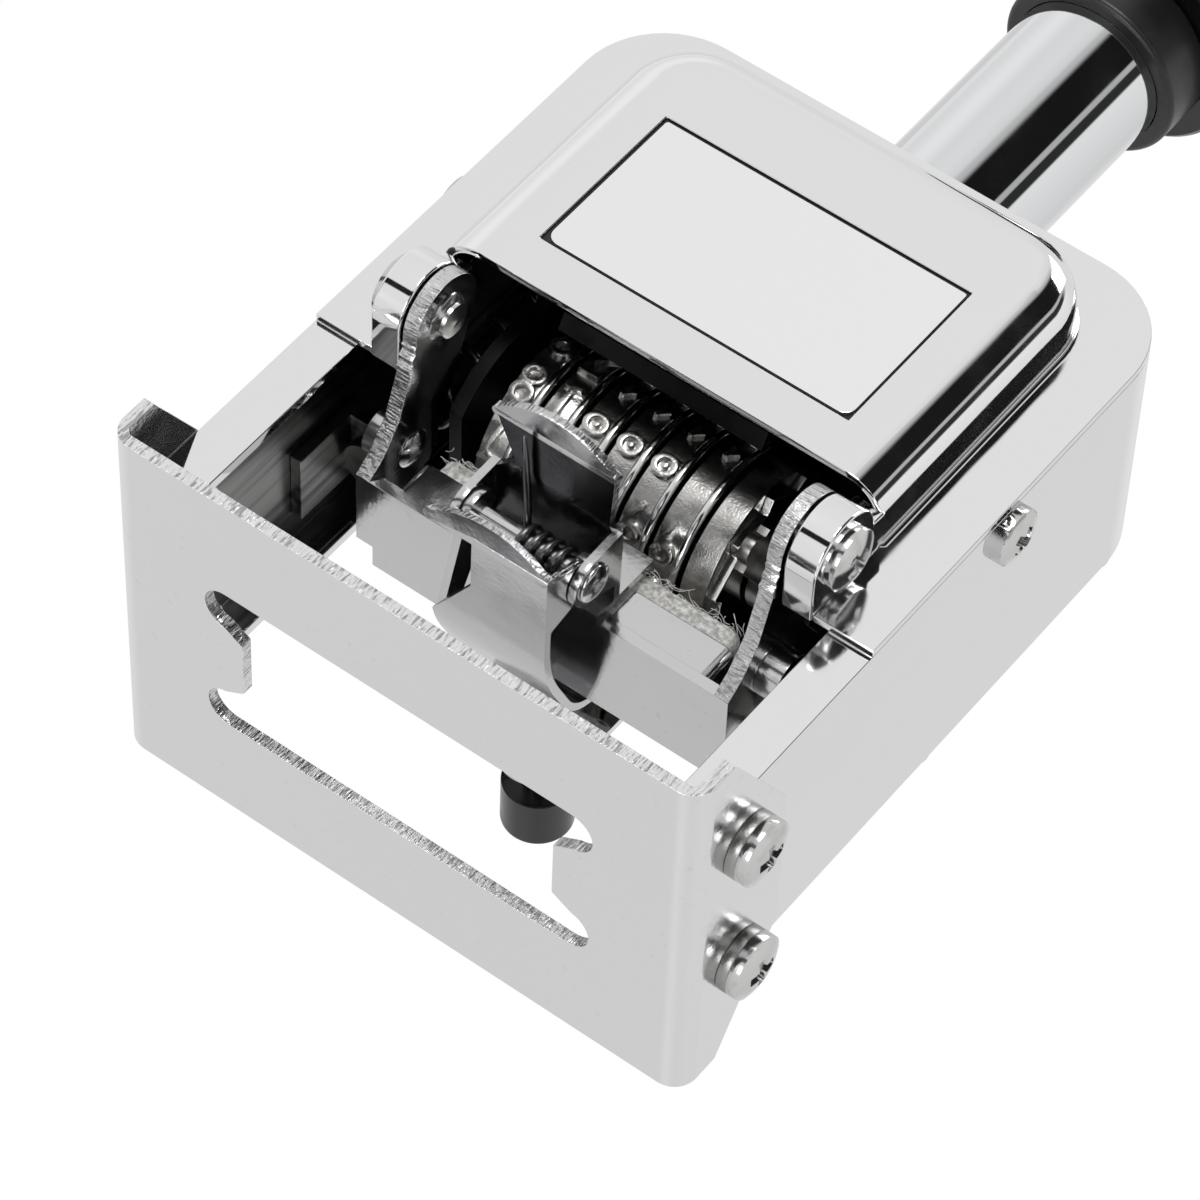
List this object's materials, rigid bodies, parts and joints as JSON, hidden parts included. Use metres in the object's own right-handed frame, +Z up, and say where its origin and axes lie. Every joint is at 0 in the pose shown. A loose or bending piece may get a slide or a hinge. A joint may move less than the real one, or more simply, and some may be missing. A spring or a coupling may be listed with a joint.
{
  "type": "numbering machine",
  "caption": "Hand-operated numbering stamp: pressing the handle lowers a head of number wheels through a foot plate window while an ink pad swings out to the front.",
  "frame": {"origin": "centre of the foot plate window, on the surface the machine stands on", "axes": "+Z up along the plunger, -Y towards the front with the cover and pad clip, +X to the right seen from the front"},
  "size_m": [0.0676, 0.0522, 0.1554],
  "materials": {
    "casing_chrome": "bright nickel plate",
    "foot_chrome": "bright nickel plate with fine pits",
    "arm_chrome": "bright plate",
    "shaft_chrome": "polished",
    "screw_steel": "bright zinc",
    "inner_steel": "satin",
    "spring_steel": "drawn wire",
    "spring_brass": "satin",
    "wheel_steel": "satin",
    "disc_chrome": "bright",
    "collar_dark": "satin",
    "handle_black": "glossy",
    "felt_wool": "light grey wool felt, not yet inked"
  },
  "bodies": {
    "casing": {"frame": "casing_chrome", "front_cover": "casing_chrome", "name_panel": "casing_chrome", "back_plate": "casing_chrome", "foot_plate": "foot_chrome", "foot_screws": "screw_steel", "foot_washers": "screw_steel", "side_screws": "screw_steel", "top_bush": "inner_steel", "guide_rods": "inner_steel", "spring_seats": "inner_steel", "return_springs": "spring_steel", "pivot_screws": "screw_steel", "back_screws": "screw_steel", "lock_barrel": "arm_chrome"},
    "plunger": {"plunger_tube": "shaft_chrome", "handle_collar": "collar_dark", "handle_knob": "handle_black", "crosshead": "inner_steel", "crosshead_pin": "inner_steel", "head_bridge": "inner_steel", "head_plate_left": "inner_steel", "head_plate_right": "inner_steel", "wheel_shaft": "inner_steel", "shaft_nuts": "inner_steel", "pawl_shaft": "inner_steel", "detent_springs": "spring_brass"},
    "wheel_1": {"number_wheel_1": "wheel_steel", "wheel_disc_1": "disc_chrome"},
    "wheel_2": {"number_wheel_2": "wheel_steel", "wheel_disc_2": "disc_chrome"},
    "wheel_3": {"number_wheel_3": "wheel_steel", "wheel_disc_3": "disc_chrome"},
    "wheel_4": {"number_wheel_4": "wheel_steel", "wheel_disc_4": "disc_chrome"},
    "wheel_5": {"number_wheel_5": "wheel_steel", "wheel_disc_5": "disc_chrome"},
    "wheel_6": {"number_wheel_6": "wheel_steel", "wheel_disc_6": "disc_chrome"},
    "repeat_dial": {"repeat_drum": "wheel_steel", "repeat_ratchet": "disc_chrome"},
    "repeat_selector": {"repeat_lever": "inner_steel"},
    "pawl": {"feed_pawl": "inner_steel"},
    "inking": {"ink_arm": "arm_chrome", "arm_studs": "screw_steel", "pad_tray": "arm_chrome", "ink_pad": "felt_wool", "clip_upper": "arm_chrome", "clip_pin": "screw_steel", "clip_spring": "spring_steel"},
    "rollers": {"arm_rollers": "screw_steel"},
    "jaw": {"clip_lower": "arm_chrome"},
    "lock": {"lock_pin": "inner_steel", "lock_knob": "handle_black"}
  },
  "joints": [
    {"name": "press", "type": "slide", "parent": "casing", "child": "plunger", "axis": [0, 0, -1], "range_m": [0, 0.028], "stiffness_N_per_m": 300, "springref_m": -0.02, "deforming": ["return_springs"]},
    {"name": "ink_swing", "type": "hinge", "parent": "casing", "child": "inking", "pos_m": [0, -0.0175, 0.0304], "axis": [-1, 0, 0], "range_deg": [0, 107]},
    {"name": "roller_spin", "type": "hinge", "parent": "inking", "child": "rollers", "pos_m": [0, -0.0041, 0.0258], "axis": [1, 0, 0], "continuous": true},
    {"name": "jaw_open", "type": "hinge", "parent": "inking", "child": "jaw", "pos_m": [0, -0.0116, 0.0189], "axis": [-1, 0, 0], "range_deg": [0, 10], "stiffness_Nm_per_rad": 0.05, "springref_deg": -28.65},
    {"name": "lock_press", "type": "slide", "parent": "casing", "child": "lock", "axis": [0, -1, 0], "range_m": [0, 0.0025], "stiffness_N_per_m": 300, "springref_m": -0.002},
    {"name": "pawl_swing", "type": "hinge", "parent": "plunger", "child": "pawl", "pos_m": [0, -0.0082, 0.0465], "axis": [-1, 0, 0], "range_deg": [0, 8.1]},
    {"name": "repeat_turn", "type": "hinge", "parent": "plunger", "child": "repeat_dial", "pos_m": [0, 0, 0.0376], "axis": [1, 0, 0], "continuous": true},
    {"name": "repeat_select", "type": "hinge", "parent": "plunger", "child": "repeat_selector", "pos_m": [0, 0, 0.0376], "axis": [1, 0, 0], "range_deg": [-8, 8]},
    {"name": "wheel_1_turn", "type": "hinge", "parent": "plunger", "child": "wheel_1", "pos_m": [0, 0, 0.0376], "axis": [1, 0, 0], "continuous": true},
    {"name": "wheel_2_turn", "type": "hinge", "parent": "plunger", "child": "wheel_2", "pos_m": [0, 0, 0.0376], "axis": [1, 0, 0], "continuous": true},
    {"name": "wheel_3_turn", "type": "hinge", "parent": "plunger", "child": "wheel_3", "pos_m": [0, 0, 0.0376], "axis": [1, 0, 0], "continuous": true},
    {"name": "wheel_4_turn", "type": "hinge", "parent": "plunger", "child": "wheel_4", "pos_m": [0, 0, 0.0376], "axis": [1, 0, 0], "continuous": true},
    {"name": "wheel_5_turn", "type": "hinge", "parent": "plunger", "child": "wheel_5", "pos_m": [0, 0, 0.0376], "axis": [1, 0, 0], "continuous": true},
    {"name": "wheel_6_turn", "type": "hinge", "parent": "plunger", "child": "wheel_6", "pos_m": [0, 0, 0.0376], "axis": [1, 0, 0], "continuous": true}
  ],
  "couplings": [
    {"joint": "ink_swing", "follows": "press", "rad_per_m": 66.323},
    {"joint": "pawl_swing", "follows": "press", "rad_per_m": 4.9867}
  ]
}
